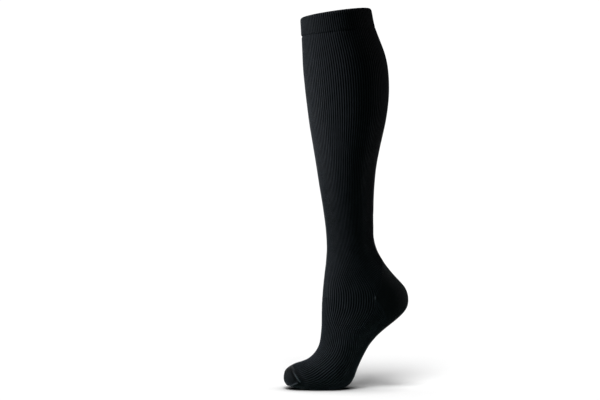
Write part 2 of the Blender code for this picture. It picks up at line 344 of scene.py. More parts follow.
CREASES = [
    # Across the front of the ankle, one to each side of the shin and alike on both sides.
    Crease(0.10, 0.318, 0.10, 0.0040, 0.004, 0.00022),
    Crease(0.90, 0.322, 0.10, 0.0040, 0.004, 0.00022),
    Crease(0.06, 0.343, 0.12, 0.0046, -0.003, 0.00025),
    Crease(0.94, 0.339, 0.12, 0.0046, -0.003, 0.00025),
    # Over the tendon, above the heel pocket.
    Crease(0.50, 0.290, 0.11, 0.0040, 0.000, -0.00025),
    Crease(0.47, 0.306, 0.12, 0.0042, 0.003, 0.00028),
    Crease(0.53, 0.319, 0.12, 0.0042, -0.003, -0.00028),
    # Drawn from the gore ends towards the instep.
    Crease(0.20, 0.402, 0.055, 0.0030, -0.006, 0.00024),
    Crease(0.80, 0.402, 0.055, 0.0030, -0.006, 0.00024),
    Crease(0.19, 0.420, 0.070, 0.0034, 0.010, -0.00022),
    Crease(0.81, 0.420, 0.070, 0.0034, 0.010, -0.00022),
    # Under the arch, where the sole is slack.
    Crease(0.42, 0.470, 0.060, 0.0036, 0.004, 0.00030),
    Crease(0.58, 0.474, 0.060, 0.0036, 0.004, 0.00030),
    Crease(0.38, 0.488, 0.060, 0.0034, -0.004, -0.00028),
    Crease(0.62, 0.485, 0.060, 0.0034, -0.004, -0.00028),
    # Behind the calf.
    Crease(0.40, 0.196, 0.090, 0.0070, 0.006, 0.00025),
    Crease(0.61, 0.188, 0.090, 0.0070, 0.006, 0.00025),
]

# Faint waves over the whole cloth: height, waves round the girth, radians a metre down, and phase.
WAVES = ((0.00008, 3, 47, 0.4), (0.00006, 7, -83, 1.9), (0.00004, 12, 151, 3.1))


def rib_relief(wale, ribs, height):
    """Round-backed ribs, stretched apart by the leg, with one crest at the shin."""
    return height / 2 * np.cos(2 * math.pi * ribs * wale)


def painted_groove_shade(wale, ribs):
    """Painted shade of the grooves between the ribs, from 0 on a crest to 1 in a groove."""
    return smooth_step(0.08, 0.60, (1 - np.cos(2 * math.pi * ribs * wale)) / 2)


def slack_relief(wale, station):
    """The listed creases, and the faint waves."""
    turn = 2 * math.pi * wale
    relief = sum(height * np.sin(count * turn + down * station + phase)
                 for height, count, down, phase in WAVES)
    for crease in CREASES:
        across = (wale - crease.wale + 0.5) % 1 - 0.5
        along = station - crease.station - crease.climb * across / crease.reach
        relief += crease.height * bell(across, crease.reach) * bell(along, crease.width)
    return relief


def gore_relief(wale, station):
    """The drawn-in line at each gore end, with hollows beside the tack that ends it."""
    away = from_shin(wale) - 0.25  # in wales, towards the heel
    down = station - GORE
    line = bell(down, 0.0011) * smooth_step(-0.022, -0.004, away) * smooth_step(0.085, 0.020, away)
    hollows = bell(down - 0.001, 0.0030) * (bell(away + 0.017, 0.008) + bell(away - 0.019, 0.010))
    return -0.00035 * line - 0.00050 * hollows


def around_top(share):
    """The girth share from the top of the foot on either side, 1 over the seam and 1 at its ends."""
    half = np.minimum(share, 1 - share)
    over_top = smooth_step(SEAM_SHARE + 0.030, SEAM_SHARE - 0.010, half)
    return half, over_top, smooth_step(0.10, 0.20, half)


def seam_shade(wale, station):
    """Painted shade, from 0 to 1, where the cloth lies in shade beside the linking seam and over the
    top of the toes just past it.
    """
    half, over_top, at_side = around_top(share_of(wale, station))
    past = station - TOE_EDGE  # in metres, towards the tip
    toe_side = at_side * smooth_step(0.270, 0.240, half) * bell(past - 0.0033, 0.0018)
    toe_top = (1 - at_side) * smooth_step(-0.001, 0.0005, past) * smooth_step(0.030, 0.006, past)
    foot_side = 0.90 * bell(past + 0.0052, 0.0044)
    return np.minimum(over_top * (toe_side + toe_top + foot_side), 1)


def toe_gore(past):
    """The toe pocket's gore line past the seam: its share from the top, and how high it is drawn."""
    height = 0.0011 * smooth_step(0.001, 0.004, past) * smooth_step(0.030, 0.018, past)
    beyond = past - SEAM_RISE
    return SEAM_SHARE + 0.008 + 2.2 * beyond + 15000 * beyond**3, height


def toe_relief(wale, station):
    """Hollows beside the linking seam, gathers that run out of it, and the toe pocket's gore lines."""
    half, over_top, at_side = around_top(share_of(wale, station))
    past = station - TOE_EDGE
    # A narrow hollow on the toe's side of the seam, and a wider one on the foot's side.
    relief = -0.0013 * at_side * smooth_step(0.275, 0.240, half) * bell(past - 0.0033, 0.0017)
    relief -= 0.0015 * over_top * (0.05 + 0.95 * at_side) * bell(past + 0.0058, 0.0034)
    gathers = np.cos(2 * math.pi * GATHERS * wale) * bell(past, 0.0055)
    relief += 0.00010 * over_top * gathers
    # The gore line stands up, with a shallow hollow under it.
    gore, height = toe_gore(past)
    relief += height * bell(half - gore, 0.010)
    relief -= 0.1 * height * bell(half - gore - 0.040, 0.016)
    return relief


# Meshes ----------------------------------------


def lattice_faces(rows, columns, wrap_rows, wrap_columns):
    """Corners of the quads of a lattice, as (row, column) pairs that may run one past the end."""
    r = np.arange(rows if wrap_rows else rows - 1)
    c = np.arange(columns if wrap_columns else columns - 1)
    r, c = (part.ravel() for part in np.meshgrid(r, c, indexing="ij"))
    return np.stack([r, r + 1, r + 1, r], axis=1), np.stack([c, c, c + 1, c + 1], axis=1)


def set_values(mesh, key, values):
    """Stores one value a vertex for the materials to read."""
    attribute = mesh.attributes.get(key) or mesh.attributes.new(key, "FLOAT", "POINT")
    attribute.data.foreach_set("value", values)


def knit_mesh(name, wales, stations, lifts, ribbed, ribs, wrap_rows=True, wrap_columns=True,
              poles=(), joins=(), capped=False, other_painted_shade=0):
    """A lattice of cloth points turned into a mesh, with the knit's own places as UVs.

    ribbed is 1 in rib knit to 0 in plain, and the last argument is painted shade that has other causes
    than the ribs.
    Each of poles is a row and the point that closes it. Each of joins is a column where the outer and
    the inner skin meet, and whether the faces there are turned over. A capped tube has an n-gon at
    its first and at its last column.
    """
    rows, columns = stations.shape
    wale = np.broadcast_to(wales, stations.shape)
    points = cloth_points(wale, stations, lifts).reshape(-1, 3)
    face_rows, face_columns = lattice_faces(rows, columns, wrap_rows, wrap_columns)
    corners = (face_rows % rows) * columns + face_columns % columns
    faces = corners.tolist()
    places = np.concatenate([wales, wales[:1] + 1]) if wrap_columns else wales
    u = places[face_columns] * ribs
    v = stations.ravel()[corners] * MILLIMETRES
    uvs = np.stack([u.ravel(), v.ravel()], axis=1).tolist()
    points = points.tolist()
    for row, pole in poles:
        tip = len(points)
        points.append(pole)
        for c in range(columns):
            d = (c + 1) % columns
            ring = [row * columns + c, tip, row * columns + d]
            faces.append(ring if row else ring[::-1])
            places_round = [places[c], (places[c] + places[c + 1]) / 2, places[c + 1]]
            if not row:
                places_round.reverse()
            uvs.extend([[place * ribs, stations[row, 0] * MILLIMETRES] for place in places_round])
    for column, flip in joins:
        for r in range(rows // 2 - 1):
            quad = [r, r + 1, rows - 2 - r, rows - 1 - r]
            quad = [i * columns + column % columns for i in quad]
            faces.append(quad[::-1] if flip else quad)
            uvs.extend([[wales[column] * ribs, stations[r, column] * MILLIMETRES]] * 4)
    if capped:
        faces.append([r * columns for r in range(rows)][::-1])
        faces.append([r * columns + columns - 1 for r in range(rows)])
        uvs.extend([uvs[0]] * (2 * rows))
    mesh = bpy.data.meshes.new(name)
    mesh.from_pydata(points, [], faces)
    layer = mesh.uv_layers.new(name="knit")
    layer.data.foreach_set("uv", np.array(uvs, float).ravel())
    # Painted shade for the materials: the grooves' or the other shade, whichever is stronger.
    painted_shade = np.maximum(painted_groove_shade(wale, ribs) * ribbed, other_painted_shade)
    for key, values in (("groove", painted_shade), ("ribbed", np.broadcast_to(ribbed, stations.shape))):
        values = np.append(values.ravel(), np.zeros(len(points) - values.size))
        set_values(mesh, key, values)
    mesh.validate()
    mesh.shade_smooth()
    mesh.set_sharp_from_angle(angle=SHARP_ANGLE)
    return mesh


def add_piece(name, mesh, material, node=None):
    """Puts a mesh in the scene as a piece of the stocking."""
    piece = bpy.data.objects.new(name, mesh)
    bpy.context.scene.collection.objects.link(piece)
    mesh.materials.append(material)
    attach(piece, "root")
    if node:
        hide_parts(node)
    return piece


def wall_rows(stations, relief, ribs_relief, wall, inner_every):
    """Rows down the outer skin and back up the inner one, with their lifts off the form.

    The ribs stand out on both faces of a rib knit, so they are added to one and taken off the other.
    """
    rows = len(stations)
    inner = np.unique(np.append(np.arange(0, rows, inner_every), rows - 1))[::-1]
    lifts = np.concatenate([relief + ribs_relief, (relief - INSIDE_RIBS * ribs_relief - wall)[inner]])
    return np.concatenate([stations, stations[inner]]), lifts, np.append(np.arange(rows), inner)


def yarn_mesh(name, side, points, ends, sunk_painted_shade):
    """A closed piece of yarn from rings of points and one point at each end.

    The last argument is painted shade, from 0 to 1, that dulls it as it lies down among the stitches.
    """
    rings, columns = points.shape[:2]
    face_rows, face_columns = lattice_faces(rings, columns, False, True)
    faces = (face_rows * columns + face_columns % columns).tolist()
    start, end = rings * columns, rings * columns + 1
    for c in range(columns):
        d = (c + 1) % columns
        faces.append([c, d, start])
        faces.append([(rings - 1) * columns + d, (rings - 1) * columns + c, end])
    if side < 0:
        faces = [face[::-1] for face in faces]
    mesh = bpy.data.meshes.new(name)
    mesh.from_pydata(points.reshape(-1, 3).tolist() + ends, [], faces)
    set_values(mesh, "groove", np.full(len(mesh.vertices), sunk_painted_shade))
    mesh.shade_smooth()
    return mesh


def round_turns(columns):
    """Angles once round a cord."""
    return np.linspace(0, 2 * math.pi, columns + 1)[:-1]


def tack_mesh(name, side):
    """A small almond of yarn drawn up where a gore ends."""
    along = np.linspace(-1, 1, 15)[:, None]
    turns = round_turns(14)
    across = np.sqrt(np.clip(1 - along**2, 0, 1)) + 0.04
    twist = 0.08 * np.sin(along * 9 + turns * 2)
    wide = 0.0036 * across * np.sin(turns) * (1 + twist)
    tall = 0.0010 * across * np.cos(turns) * (1 + twist)
    stations = GORE - 0.0002 + 0.0026 * along + 0 * wide
    wales = side * (TACK_WALE + wide - 0.001 * along)
    points = cloth_points(wales, stations, tall)
    middle = np.full((1, 1), side * TACK_WALE)
    ends = []
    for past in (-0.0030, 0.0026):
        ends += cloth_points(middle, np.full((1, 1), GORE + past), np.zeros((1, 1)))[0].tolist()
    return yarn_mesh(name, side, points, ends, 0.5)


def toe_gore_mesh(name, side):
    """A cord of yarn along the line where the toe pocket's gore is drawn together."""
    rings = 26
    past = np.linspace(0.0026, 0.0160, rings)[:, None]
    turns = round_turns(10)
    taper = np.sqrt(np.clip(1 - np.linspace(-1, 1, rings)[:, None] ** 4, 0.02, 1))
    plies = 1 + 0.12 * np.cos(np.arange(rings)[:, None] * 1.9)
    across = 0.0010 * taper * plies * np.sin(turns)
    share, height = toe_gore(past)
    # The cord is round in metres, so its width is shared out across the line it follows.
    slope = TOE_GIRTH * (toe_gore(past + NUDGE)[0] - share) / NUDGE
    stations = TOE_EDGE + past - slope / np.hypot(1, slope) * across
    share = share + across / np.hypot(1, slope) / TOE_GIRTH
    share = share if side > 0 else 1 - share
    lifts = height - 0.0001 + 0.0006 * taper * plies * np.cos(turns)
    points = form_point(share, stations) + lifts[..., None] * outward(share, stations)
    ends = [points[0].mean(axis=0).tolist(), points[-1].mean(axis=0).tolist()]
    return yarn_mesh(name, side, points, ends, 0.45)


# Materials ----------------------------------------


def fill(tree, node, sockets):
    """Fills a node's sockets with values or links."""
    for socket, value in sockets.items():
        if isinstance(value, bpy.types.NodeSocket):
            tree.links.new(value, node.inputs[socket])
        else:
            node.inputs[socket].default_value = value


def add(tree, kind, sockets=None, **settings):
    """Adds a shader node with its settings, and fills its sockets."""
    node = tree.nodes.new("ShaderNode" + kind)
    for key, value in settings.items():
        setattr(node, key, value)
    fill(tree, node, sockets or {})
    return node


def new_material(name):
    """A material with its tree and its Principled shader."""
    material = bpy.data.materials.new(name)
    material.use_nodes = True
    return material, material.node_tree, material.node_tree.nodes["Principled BSDF"]


NYLON_IOR = 1.53
BLOOM = (*linear("#dfe8f5"), 1)

# Millimetres from course to course. Real ones are about 0.6 mm apart and the filaments 0.02 mm, and
# both are drawn coarser so that they show.
LEG_COURSE, BAND_COURSE, PLAIN_COURSE = 1.3, 1.2, 1.1
FIBRE_SCALE = 1600.0  # clumps of filaments, 0.6 mm across
PLY_SCALE = 900.0  # plies of the sewing yarn, 1 mm long
PATCH_SCALE = 95.0  # uneven dye and tension, in patches of 10 mm
ROUGH_SPREAD = 0.06  # to each side of the mean roughness
LOOP_SLANT = 1.7  # courses that a loop climbs over the width of its column
LOOP_FALL = -2.2  # how fast a column rounds off to both sides
LOOP_SHARE = 0.45  # height of the loops, as a share of the column's


def knitted(name, colour, painted_shade_colour, course, stitch_height, sheen, roughness):
    """Black nylon and elastane yarn, knitted: ribs of broad V-shaped loops, or plain fine ones.

    The yarn is matt with a soft bluish bloom at glancing angles from its fine filaments. Grooves
    between the ribs, and the other shaded places that the mesh stores with them, get painted shade: a
    darker colour where little light gets in.
    """
    material, tree, surface = new_material(name)
    places = add(tree, "UVMap", uv_map="knit").outputs["UV"]
    around, down, _ = add(tree, "SeparateXYZ", {"Vector": places}).outputs
    ribbed = add(tree, "Attribute", attribute_name="ribbed").outputs["Fac"]
    # Painted shade stored on the mesh, from 0 where lit to 1 in deep shade.
    groove = add(tree, "Attribute", attribute_name="groove").outputs["Fac"]

    # The distance to the middle of a column of loops: one on a rib, two on as much plain knit.
    columns = add(tree, "Math", {0: 2.0, 1: ribbed}, operation="SUBTRACT").outputs[0]
    middle = around
    for operation, *rest in (
        ("MULTIPLY", columns), ("ADD", 0.5), ("FRACT",), ("SUBTRACT", 0.5), ("ABSOLUTE",)
    ):
        sockets = dict(enumerate((middle, *rest)))
        middle = add(tree, "Math", sockets, operation=operation).outputs[0]

    # The loops slant away from the middle of their column, so each pair makes a V.
    course_count = add(tree, "Math", {0: down, 1: course}, operation="DIVIDE").outputs[0]
    slant = add(tree, "Math", {0: middle, 1: LOOP_SLANT, 2: course_count},
                operation="MULTIPLY_ADD").outputs[0]
    wave = add(tree, "Math", {0: slant, 1: 2 * math.pi}, operation="MULTIPLY").outputs[0]
    loops = add(tree, "Math", {0: wave}, operation="SINE").outputs[0]
    round_back = add(tree, "Math", {0: middle, 1: LOOP_FALL, 2: 1.0},
                     operation="MULTIPLY_ADD").outputs[0]
    stitches = add(tree, "Math", {0: loops, 1: LOOP_SHARE, 2: round_back},
                   operation="MULTIPLY_ADD").outputs[0]

    spot = add(tree, "TexCoord").outputs["Object"]
    fibre = add(tree, "TexNoise", {"Vector": spot, "Scale": FIBRE_SCALE, "Detail": 3.0})
    patches = add(tree, "TexNoise", {"Vector": spot, "Scale": PATCH_SCALE, "Detail": 2.0})

    knit_bump = add(tree, "Bump", {
        "Strength": 0.6, "Distance": stitch_height, "Height": stitches})
    fibre_bump = add(tree, "Bump", {
        "Strength": 0.25, "Distance": 0.0001, "Height": fibre.outputs["Fac"],
        "Normal": knit_bump.outputs["Normal"]})
    uneven = add(tree, "MapRange", {
        "Value": patches.outputs["Fac"], "From Min": 0.3, "From Max": 0.7,
        "To Min": 0.0, "To Max": 0.16}).outputs["Result"]
    # Painted shade darkens the colour, with patches of uneven dye added on top.
    painted_shade_and_dye = add(tree, "Math", {0: groove, 1: 0.9, 2: uneven},
                 operation="MULTIPLY_ADD", use_clamp=True).outputs[0]
    tint = add(tree, "Mix", {"Factor": painted_shade_and_dye, "A": (*colour, 1), "B": (*painted_shade_colour, 1)}, data_type="RGBA")
    rough = add(tree, "MapRange", {
        "Value": fibre.outputs["Fac"], "From Min": 0.3, "From Max": 0.7,
        "To Min": roughness - ROUGH_SPREAD, "To Max": roughness + ROUGH_SPREAD})
    # Painted shade also takes most of the sheen out of the grooves.
    sheen_with_painted_shade = add(tree, "MapRange", {"Value": groove, "To Min": sheen, "To Max": 0.1 * sheen})
    fill(tree, surface, {
        "Normal": fibre_bump.outputs["Normal"],
        "Base Color": tint.outputs["Result"],
        "Roughness": rough.outputs["Result"],
        "IOR": NYLON_IOR,
        "Specular IOR Level": 0.12,
        "Sheen Weight": sheen_with_painted_shade.outputs["Result"],
        "Sheen Roughness": 0.42,
        "Sheen Tint": BLOOM,
    })
    return material


# Colour, course in mm, height of the stitches in metres, sheen and roughness of each knit.
KNITS = {
    # Leg and foot: ribs 2 to 3.4 mm wide, as the leg stretches them, with painted shade in the grooves
    # between them.
    "nylon_rib_knit": ("ribs", LEG_COURSE, 0.00022, 0.22, 0.74),
    # Heel and toe, plated with a second yarn, so the face is closed and a little duller.
    "nylon_plain_knit": ("heel_and_toe", PLAIN_COURSE, 0.00018, 0.18, 0.80),
    # Two layers of the rib knit with elastane laid in, so the band looks denser and a little browner.
    "nylon_band_knit": ("band", BAND_COURSE, 0.00022, 0.22, 0.76),
}


def knit(name):
    """The knit of that name, made when it is first asked for."""
    colours = bpy.context.scene.stocking_colours
    colour, *rest = KNITS[name]
    return bpy.data.materials.get(name) or knitted(
        name, getattr(colours, colour), colours.painted_shade, *rest)


def linked_yarn():
    """Four-fold nylon sewing yarn of the toe seam, the gore tacks and the toe's gore lines.

    It is rounder than the knit and has more lustre, save where painted shade dulls its colour and sheen
    as it lies down among the stitches.
    """
    found = bpy.data.materials.get("linked_nylon_yarn")
    if found:
        return found
    colours = bpy.context.scene.stocking_colours
    material, tree, surface = new_material("linked_nylon_yarn")
    spot = add(tree, "TexCoord").outputs["Object"]
    plies = add(tree, "TexNoise", {"Vector": spot, "Scale": PLY_SCALE, "Detail": 4.0}).outputs["Fac"]
    bump = add(tree, "Bump", {"Strength": 0.5, "Distance": 0.00015, "Height": plies})
    # Painted shade from the mesh dulls the yarn's colour and takes away its sheen.
    sunk_painted_shade = add(tree, "Attribute", attribute_name="groove").outputs["Fac"]
    unshaded_share = add(tree, "Math", {0: 1.0, 1: sunk_painted_shade}, operation="SUBTRACT").outputs[0]
    shown = add(tree, "Math", {0: plies, 1: unshaded_share}, operation="MULTIPLY").outputs[0]
    tint = add(tree, "Mix", {"Factor": shown, "A": (*colours.painted_shade, 1), "B": (*colours.seam, 1)},
               data_type="RGBA")
    rough = add(tree, "MapRange", {"Value": plies, "To Min": 0.5, "To Max": 0.7})
    sheen_with_painted_shade = add(tree, "Math", {0: unshaded_share, 1: 0.3}, operation="MULTIPLY")
    fill(tree, surface, {
        "Normal": bump.outputs["Normal"],
        "Base Color": tint.outputs["Result"],
        "Roughness": rough.outputs["Result"],
        "IOR": NYLON_IOR,
        "Specular IOR Level": 0.15,
        "Sheen Weight": sheen_with_painted_shade.outputs[0],
        "Sheen Roughness": 0.4,
        "Sheen Tint": BLOOM,
    })
    return material


# Settings ----------------------------------------


def length_setting(name, description, default):
    return FloatProperty(
        name=name, description=description, default=default, subtype="DISTANCE", unit="LENGTH")


def colour_setting(name, description, text):
    return FloatVectorProperty(
        name=name, description=description, default=linear(text), subtype="COLOR")


class StockingSizes(bpy.types.PropertyGroup):
    ribs: IntProperty(
        name="Ribs", description="Ribs round the leg, a multiple of four", default=104, min=40, max=160)
    rib_height: length_setting("Rib height", "From a groove to the crest of a rib", 0.00070)
    wall: length_setting("Wall", "Thickness of the single knit", 0.0012)
    heel_wall: length_setting("Heel wall", "Thickness of the plated heel", 0.0014)
    band_wall: length_setting("Band", "Thickness of the turned-over band", 0.0022)
    band_proud: length_setting("Band proud", "How far the band stands out from the leg", 0.0005)
    ridge_width: length_setting("Seam width", "Width of the toe seam's ridge", 0.0030)
    ridge_height: length_setting("Seam height", "Height of the toe seam's ridge", 0.0014)


class StockingColours(bpy.types.PropertyGroup):
    ribs: colour_setting("Ribs", "Crests of the ribs", "#31343b")
    # The painted shade colour, laid into the grooves between the ribs and the other shaded places.
    painted_shade: colour_setting("Grooves", "Between the ribs", "#050506")
    band: colour_setting("Band", "Turned-over band", "#2f3238")
    heel_and_toe: colour_setting("Heel and toe", "Plated plain knit", "#191b1e")
    seam: colour_setting("Seam", "Linking yarn", "#858991")
    backdrop: colour_setting("Backdrop", "Floor and background", "#ffffff")


# Operators ----------------------------------------


class STOCKING_OT_band(bpy.types.Operator):
    """Knits the turned-over band at the top"""

    bl_idname = "stocking.band"
    bl_label = "Turned-over band"

    def execute(self, context):
        sizes = context.scene.stocking_sizes
        wales = wale_columns(RIB_COLUMNS, sizes.ribs)
        edge = STATION["band_edge"]
        stretch = band_edge(wales) / edge
        fold = sizes.band_wall / 2
        curl = 0.0045  # the band draws in over this length below the fold
        outside = sizes.band_proud
        inside = outside - sizes.band_wall
        # (station, lift, share of the rib relief) down the outside, round the hem into the groove,
        # up the inside and over the fold.
        profile = [(s, outside, 1.0) for s in np.linspace(fold, curl, 4)[:-1]]
        profile += [(s, outside, 1.0) for s in np.linspace(curl, edge - 0.0016, 8)]
        profile += [
            (edge - 0.0009, outside - 0.00010, 1.0),
            (edge - 0.0003, outside - 0.00045, 0.8),
            (edge, outside - 0.00100, 0.3),
            (edge, inside + 0.00030, -0.3),
            (edge - 0.0004, inside, -INSIDE_RIBS),
        ]
        profile += [(s, inside, -INSIDE_RIBS) for s in np.linspace(edge - 0.002, fold, 5)]
        for angle in np.linspace(0, math.pi, 8)[1:-1]:
            over = (1 - math.cos(angle)) / 2
            station = fold - fold * math.sin(angle)
            share = (1 + INSIDE_RIBS) * over - INSIDE_RIBS
            profile.append((station, inside + sizes.band_wall * over, share))
        profile = np.array(profile)
        stations, lifts, standing = (np.repeat(part[:, None], len(wales), 1) for part in profile.T)
        stations = stations * stretch
        relief = rib_relief(wales, sizes.ribs, sizes.rib_height * BAND_RIBS)
        lifts = lifts + standing * relief + slack_relief(wales, stations)
        lifts -= 0.0022 * np.clip(1 - stations / curl, 0, 1) ** 2
        # Behind the calf the band lies flush with the leg.
        behind = smooth_step(0.15, 0.45, from_shin(wales))
        lifts -= 0.0004 * behind * smooth_step(0.008, edge, stations)
        mesh = knit_mesh("turned_band", wales, stations, lifts, np.ones_like(stations), sizes.ribs)
        piece = add_piece("turned_band", mesh, knit("nylon_band_knit"), "welt")
        return {"FINISHED"}


class STOCKING_OT_leg(bpy.types.Operator):
    """Knits the ribbed leg tube from the band to the heel"""

    bl_idname = "stocking.leg"
    bl_label = "Ribbed leg"

    def execute(self, context):
        sizes = context.scene.stocking_sizes
        wales = wale_columns(RIB_COLUMNS, sizes.ribs)
        top = band_edge(wales)
        bottom = heel_edge(wales, "heel_start")
        # The rows lie closer together below the band, where the cloth is drawn in.
        close = np.array([0, 0.0016, 0.0034, 0.0060, 0.0105]) / LEG_LENGTH
        parts = np.concatenate([close[:-1], np.linspace(close[-1], 1, LEG_ROWS)])
        stations = rows_between(top, bottom, parts)
        below_band = stations - top
        to_heel = bottom - stations
        back = behind_gores(wales, sizes.ribs)
        ribbed = np.where(back, smooth_step(0.0, 0.004, to_heel), 1.0)
        relief = slack_relief(wales, stations) + gore_relief(wales, stations)
        # The band bites deepest over the shin.
        bite = 0.0011 - 0.0009 * smooth_step(0.08, 0.45, from_shin(wales))
        relief -= bite * bell(below_band, 0.0020)
        ribs = rib_relief(wales, sizes.ribs, sizes.rib_height) * ribbed
        stations, lifts, kept = wall_rows(stations, relief, ribs, sizes.wall, 4)
        # The plain knit by the heel gets painted shade as dark as the ribs look on average.
        mesh = knit_mesh("ribbed_leg", wales, stations, lifts, ribbed[kept], sizes.ribs,
                         other_painted_shade=PLAIN_SHADE * (1 - ribbed[kept]))
        piece = add_piece("ribbed_leg", mesh, knit("nylon_rib_knit"), "leg")
        return {"FINISHED"}


class STOCKING_OT_heel(bpy.types.Operator):
    """Knits the plain heel pocket between the gore ends"""

    bl_idname = "stocking.heel"
    bl_label = "Heel pocket"

    def execute(self, context):
        sizes = context.scene.stocking_sizes
        count = sizes.ribs // 2 * PLAIN_COLUMNS
        # The column on each gore end is the leg's and the foot's.
        wales = np.linspace(0.25, 0.75, count + 1)[1:-1]
        top = heel_edge(wales, "heel_start")
        bottom = heel_edge(wales, "heel_end")
        stations = rows_between(top, bottom, np.linspace(0, 1, HEEL_ROWS))
        relief = slack_relief(wales, stations) + gore_relief(wales, stations)
        stations, lifts, _ = wall_rows(stations, relief, np.zeros_like(relief), sizes.heel_wall, 1)
        mesh = knit_mesh("heel_cloth", wales, stations, lifts, np.zeros_like(stations), sizes.ribs,
                         wrap_columns=False, joins=((0, True), (-1, False)))
        piece = add_piece("heel_cloth", mesh, knit("nylon_plain_knit"), "heel_pocket")
        return {"FINISHED"}


class STOCKING_OT_foot(bpy.types.Operator):
    """Knits the foot tube, ribbed over the instep and the sides, and plain under the sole"""

    bl_idname = "stocking.foot"
    bl_label = "Foot"

    def execute(self, context):
        sizes = context.scene.stocking_sizes
        wales = wale_columns(RIB_COLUMNS, sizes.ribs)
        top = heel_edge(wales, "heel_end")
        bottom = np.full_like(wales, TOE_EDGE)
        stations = rows_between(top, bottom, np.linspace(0, 1, FOOT_ROWS))
        back = behind_gores(wales, sizes.ribs)
        ribbed = smooth_step(SOLE_EDGE + SOLE_BLEND, SOLE_EDGE - SOLE_BLEND, from_shin(wales))
        ribbed = ribbed * np.where(back, smooth_step(0.0, 0.006, stations - top), 1.0)
        ribbed = ribbed * smooth_step(-0.0020, -0.0080, stations - bottom)
        relief = slack_relief(wales, stations) + gore_relief(wales, stations)
        relief += toe_relief(wales, stations)
        ribs = rib_relief(wales, sizes.ribs, sizes.rib_height * FOOT_RIBS) * ribbed
        stations, lifts, kept = wall_rows(stations, relief, ribs, sizes.wall, 3)
        # Painted shade beside the toe seam and over the plain sole.
        other_painted_shade = np.maximum(seam_shade(wales, stations), PLAIN_SHADE * (1 - ribbed[kept]))
        mesh = knit_mesh("foot_cloth", wales, stations, lifts, ribbed[kept], sizes.ribs, other_painted_shade=other_painted_shade)
        piece = add_piece("foot_cloth", mesh, knit("nylon_rib_knit"), "foot")
        return {"FINISHED"}


class STOCKING_OT_toe(bpy.types.Operator):
    """Knits the plain toe pocket"""

    bl_idname = "stocking.toe"
    bl_label = "Toe pocket"

    def execute(self, context):
        sizes = context.scene.stocking_sizes
        wales = wale_columns(PLAIN_COLUMNS, sizes.ribs)
        last = STATION["toe_tip"]
        # The rows draw together towards the tip, and a fan of triangles closes it.
        parts = 1 - (1 - np.linspace(0, 0.93, TOE_ROWS)) ** 1.25
        stations = np.repeat((TOE_EDGE + (last - TOE_EDGE) * parts)[:, None], len(wales), axis=1)
        relief = slack_relief(wales, stations) + toe_relief(wales, stations)
        relief *= smooth_step(last - 0.002, last - 0.012, stations)
        # Up the inner skin from the tip, and down the outer one back to it.
        lifts = np.concatenate([(relief - sizes.wall)[::-1], relief])
        stations = np.concatenate([stations[::-1], stations])
        tip = SECTIONS[-1]
        poles = [(len(stations) - 1, (0, tip.front_y, tip.front_z)),
                 (0, (0, tip.front_y + sizes.wall, tip.front_z))]
        # Painted shade beside the toe seam and over the top of the toes.
        mesh = knit_mesh("toe_cloth", wales, stations, lifts, np.zeros_like(stations), sizes.ribs,
                         wrap_rows=False, poles=poles, other_painted_shade=seam_shade(wales, stations))
        piece = add_piece("toe_cloth", mesh, knit("nylon_plain_knit"), "toe_cap")
        return {"FINISHED"}


class STOCKING_OT_seam(bpy.types.Operator):
    """Links the toe seam over the top of the toes, and sews the gore tacks and the toe's gore lines"""

    bl_idname = "stocking.seam"
    bl_label = "Toe seam and gores"

    def execute(self, context):
        sizes = context.scene.stocking_sizes
        end = SEAM_WALE * 1.04
        wales = np.linspace(-end, end, SEAM_COLUMNS)
        away = np.abs(wales) / end
        turns = round_turns(14)
        along = math.pi * SEAM_LOOPS * wales / end
        loops = np.cos(along)
        taper = np.sqrt(np.clip(1 - away**12, 0.01, 1))
        # The seam is drawn flat over the toes and stands up at their sides.
        standing = 0.10 + 1.05 * smooth_step(0.36, 0.85, away)
        half = sizes.ridge_width / 2 * taper * (1 + 0.06 * loops)
        tall = sizes.ridge_height * taper * standing * (1 + 0.10 * loops)
        slant = 0.0004 * np.sin(along)
        stations = TOE_EDGE + slant + half * np.sin(turns)[:, None]
        round_back = np.where(np.cos(turns) > 0, np.cos(turns), 0.25 * np.cos(turns))
        lifts = -0.0006 + tall * round_back[:, None]
        # The seam's yarn gets full painted shade over the middle of the toes, fading out towards its
        # ends.
        mesh = knit_mesh("linked_seam", wales, stations, lifts, np.zeros_like(stations), sizes.ribs,
                         wrap_columns=False, capped=True, other_painted_shade=smooth_step(1.03, 0.45, away))
        add_piece("linked_seam", mesh, linked_yarn(), "toe_seam")
        for side, name in ((1, "gore_tack_right"), (-1, "gore_tack_left")):
            add_piece(name, tack_mesh(name, side), linked_yarn())
        for side, name in ((1, "toe_gore_right"), (-1, "toe_gore_left")):
            add_piece(name, toe_gore_mesh(name, side), linked_yarn())
        return {"FINISHED"}


# Panels of light for the cloth alone: size in metres, power in watts, and spread in degrees, where
# 180 is a bare panel and less is one behind a grid.
Panel = namedtuple("Panel", "name place aim width height power colour spread")

AT_LEG = (0.0, 0.0, -0.26)
AT_FOOT = (0.0, 0.0, -0.47)

